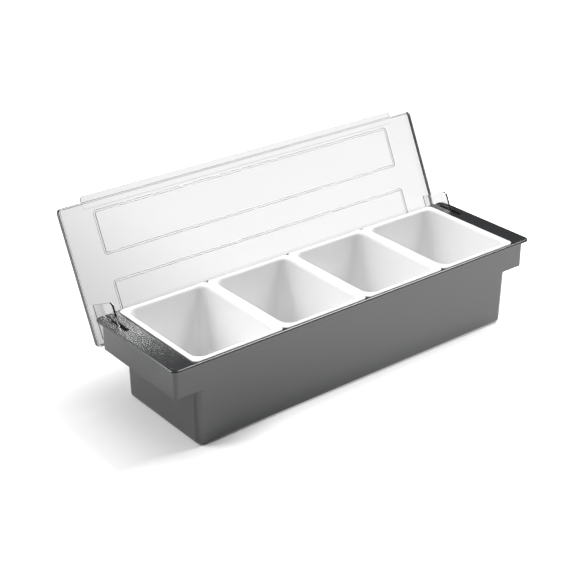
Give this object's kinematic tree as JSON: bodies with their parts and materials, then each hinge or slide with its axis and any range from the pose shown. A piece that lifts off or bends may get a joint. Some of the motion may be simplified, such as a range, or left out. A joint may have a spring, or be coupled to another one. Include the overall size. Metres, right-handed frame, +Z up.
{
  "type": "condiment caddy",
  "caption": "Four-compartment condiment caddy: charcoal tray with room for ice, four white lift-out inserts and one clear lid hinged on moulded arms at both ends.",
  "frame": {"origin": "centre of the flat underside of the tray's floor, where the caddy stands", "axes": "+X along the caddy to the right as its user sees it, +Y to the rear where the lid hinges, +Z up"},
  "size_m": [0.5, 0.2149, 0.205],
  "materials": {
    "charcoal_moulding": "smooth injection-moulded charcoal plastic",
    "white_moulding": "smooth injection-moulded white plastic",
    "clear_moulding": "clear polished injection-moulded plastic"
  },
  "bodies": {
    "caddy": {"tray": "charcoal_moulding"},
    "cup_1": {"insert_1": "white_moulding"},
    "cup_2": {"insert_2": "white_moulding"},
    "cup_3": {"insert_3": "white_moulding"},
    "cup_4": {"insert_4": "white_moulding"},
    "cover": {"lid": "clear_moulding"}
  },
  "joints": [
    {"name": "lid_hinge", "type": "hinge", "parent": "caddy", "child": "cover", "pos_m": [0, 0.0599, 0.0876], "axis": [-1, 0, 0], "range_deg": [-117.6, 0]},
    {"name": "cup_1_lift", "type": "slide", "parent": "caddy", "child": "cup_1", "axis": [0, 0, 1], "range_m": [0, 0.1]},
    {"name": "cup_2_lift", "type": "slide", "parent": "caddy", "child": "cup_2", "axis": [0, 0, 1], "range_m": [0, 0.1]},
    {"name": "cup_3_lift", "type": "slide", "parent": "caddy", "child": "cup_3", "axis": [0, 0, 1], "range_m": [0, 0.1]},
    {"name": "cup_4_lift", "type": "slide", "parent": "caddy", "child": "cup_4", "axis": [0, 0, 1], "range_m": [0, 0.1]}
  ]
}
